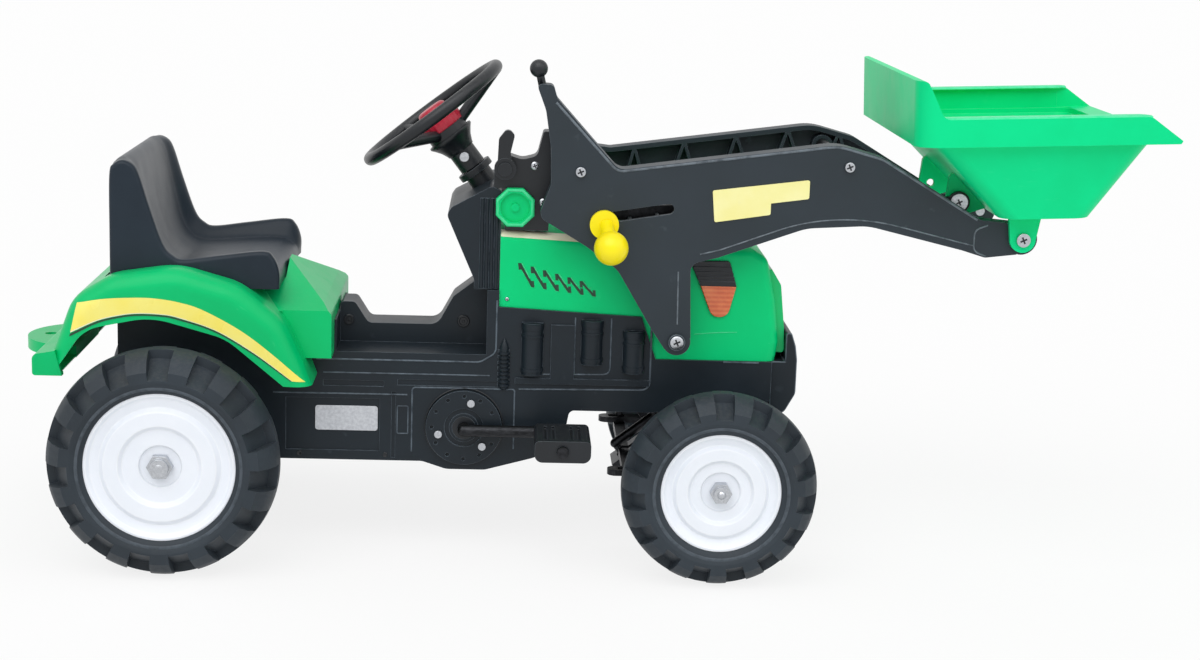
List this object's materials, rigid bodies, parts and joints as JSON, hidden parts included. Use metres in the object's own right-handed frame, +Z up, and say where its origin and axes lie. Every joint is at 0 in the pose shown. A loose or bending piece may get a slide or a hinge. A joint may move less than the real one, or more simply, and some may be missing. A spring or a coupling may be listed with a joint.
{
  "type": "ride-on pedal tractor toy",
  "caption": "Child's ride-on pedal tractor with a chain-driven rear axle, steered front wheels, a moulded seat and a lever-worked front loader with a tipping bucket.",
  "frame": {"origin": "on the ground under the middle of the overall outline", "axes": "+X forward towards the bucket, +Y to the driver's left, +Z up"},
  "size_m": [1.151, 0.41, 0.511],
  "materials": {
    "black_plastic": "satin moulded black plastic",
    "seat_plastic": "satin moulded black plastic with a fine grain",
    "green_plastic": "glossy green moulded plastic",
    "bucket_green": "glossy bright green moulded plastic",
    "white_plastic": "white moulded plastic",
    "tyre_plastic": "matte black tread plastic",
    "steel": "zinc plated steel",
    "black_steel": "black painted steel",
    "badge_metal": "brushed silver plate",
    "yellow_plastic": "glossy yellow plastic",
    "red_plastic": "glossy red plastic",
    "amber_lens": "amber lens plastic",
    "grille_plastic": "light grey plastic"
  },
  "bodies": {
    "chassis": {"body_shell": "black_plastic", "dash_console": "black_plastic", "hood": "green_plastic", "headlamps": "black_plastic", "indicator_lenses": "amber_lens", "grille": "grille_plastic", "front_bumper": "black_plastic", "rear_fender": "green_plastic", "seat": "seat_plastic", "seat_screws": "steel", "crank_covers": "black_plastic", "crank_cover_bolts": "steel", "crank_bushes": "black_plastic", "rear_axle_bushes": "black_plastic", "gear_lever_bracket": "black_plastic", "side_cap": "green_plastic", "drive_chain": "steel", "front_axle_beam": "black_plastic", "kingpins": "steel", "column_collar": "black_plastic", "loader_pivot_bracket": "black_steel", "loader_pivot_pins": "steel", "side_plates": "badge_metal"},
    "rear_axle": {"rear_axle": "steel", "rear_sprocket": "steel", "rear_rim_right": "white_plastic", "rear_tyre_right": "tyre_plastic", "rear_nuts": "steel"},
    "rear_wheel_left": {"rear_rim_left": "white_plastic", "rear_tyre_left": "tyre_plastic"},
    "crank": {"crank": "black_steel", "crank_sprocket": "steel"},
    "pedal_right": {"pedal_right": "black_plastic"},
    "pedal_left": {"pedal_left": "black_plastic"},
    "knuckle_right": {"knuckle_right": "black_steel", "front_nut_right": "steel"},
    "knuckle_left": {"knuckle_left": "black_steel", "front_nut_left": "steel"},
    "front_wheel_right": {"front_rim_right": "white_plastic", "front_tyre_right": "tyre_plastic"},
    "front_wheel_left": {"front_rim_left": "white_plastic", "front_tyre_left": "tyre_plastic"},
    "tie_rod": {"tie_rod": "black_steel"},
    "steering": {"steering_shaft": "black_steel", "steering_wheel": "black_plastic", "steering_bolt": "steel", "horn_spring": "steel"},
    "horn_button": {"horn_button": "red_plastic"},
    "loader": {"loader_arm_right": "black_plastic", "loader_arm_left": "black_plastic", "loader_ties": "steel", "loader_tie_bolts": "steel", "lever_ball": "black_plastic", "bucket_pins": "steel", "arm_plates": "yellow_plastic"},
    "bucket": {"bucket": "bucket_green", "tab_pin": "steel"},
    "tilt_knob": {"tilt_knob": "yellow_plastic"},
    "push_rod": {"push_rod": "black_steel"},
    "gear_lever": {"gear_lever": "black_plastic"}
  },
  "joints": [
    {"name": "rear_axle_spin", "type": "hinge", "parent": "chassis", "child": "rear_axle", "pos_m": [-0.409, 0, 0.114], "axis": [0, 1, 0], "continuous": true},
    {"name": "rear_wheel_left_spin", "type": "hinge", "parent": "rear_axle", "child": "rear_wheel_left", "pos_m": [-0.409, 0.17, 0.114], "axis": [0, 1, 0], "continuous": true},
    {"name": "crank_spin", "type": "hinge", "parent": "chassis", "child": "crank", "pos_m": [-0.11739, 0, 0.131], "axis": [0, 1, 0], "continuous": true},
    {"name": "pedal_right_spin", "type": "hinge", "parent": "crank", "child": "pedal_right", "pos_m": [-0.0174, -0.136, 0.131], "axis": [0, 1, 0], "continuous": true},
    {"name": "pedal_left_spin", "type": "hinge", "parent": "crank", "child": "pedal_left", "pos_m": [-0.2174, 0.136, 0.131], "axis": [0, 1, 0], "continuous": true},
    {"name": "knuckle_right_steer", "type": "hinge", "parent": "chassis", "child": "knuckle_right", "pos_m": [0.139, -0.112, 0.098], "axis": [0, 0, 1], "range_deg": [-20.6, 20.6]},
    {"name": "knuckle_left_steer", "type": "hinge", "parent": "chassis", "child": "knuckle_left", "pos_m": [0.139, 0.112, 0.098], "axis": [0, 0, 1], "range_deg": [-20.6, 20.6]},
    {"name": "front_wheel_right_spin", "type": "hinge", "parent": "knuckle_right", "child": "front_wheel_right", "pos_m": [0.139, -0.17, 0.098], "axis": [0, 1, 0], "continuous": true},
    {"name": "front_wheel_left_spin", "type": "hinge", "parent": "knuckle_left", "child": "front_wheel_left", "pos_m": [0.139, 0.17, 0.098], "axis": [0, 1, 0], "continuous": true},
    {"name": "tie_rod_slide", "type": "slide", "parent": "chassis", "child": "tie_rod", "axis": [0, 1, 0], "range_m": [-0.0325, 0.0325]},
    {"name": "steering_turn", "type": "hinge", "parent": "chassis", "child": "steering", "pos_m": [-0.157, 0, 0.446], "axis": [0.6115, 0, -0.7912], "range_deg": [-35.2, 35.2]},
    {"name": "horn_press", "type": "slide", "parent": "steering", "child": "horn_button", "axis": [0.6115, 0, -0.7912], "range_m": [0, 0.004], "stiffness_N_per_m": 600, "springref_m": -0.001, "deforming": ["horn_spring"]},
    {"name": "loader_lift", "type": "hinge", "parent": "chassis", "child": "loader", "pos_m": [0.096, 0, 0.232], "axis": [0, 1, 0], "range_deg": [0, 50]},
    {"name": "bucket_tilt", "type": "hinge", "parent": "loader", "child": "bucket", "pos_m": [0.44, 0, 0.346], "axis": [0, 1, 0], "range_deg": [0, 36]},
    {"name": "tilt_knob_slide", "type": "slide", "parent": "loader", "child": "tilt_knob", "axis": [0.986, 0, 0.1668], "range_m": [0, 0.0315]},
    {"name": "push_rod_swing", "type": "hinge", "parent": "tilt_knob", "child": "push_rod", "pos_m": [0.024, -0.08, 0.357], "axis": [0, 1, 0], "range_deg": [-4.2, 0.1]},
    {"name": "gear_lever_swing", "type": "hinge", "parent": "chassis", "child": "gear_lever", "pos_m": [-0.081, -0.075, 0.399], "axis": [0, 1, 0], "range_deg": [-12, 12]}
  ],
  "couplings": [
    {"joint": "crank_spin", "follows": "rear_axle_spin", "ratio": 1},
    {"joint": "steering_turn", "follows": "knuckle_right_steer", "ratio": -1.699},
    {"joint": "tie_rod_slide", "follows": "knuckle_right_steer", "m_per_rad": -0.089003},
    {"joint": "knuckle_left_steer", "follows": "knuckle_right_steer", "ratio": 1},
    {"joint": "tilt_knob_slide", "follows": "bucket_tilt", "m_per_rad": 0.0499},
    {"joint": "push_rod_swing", "follows": "bucket_tilt", "ratio": -0.1144}
  ]
}
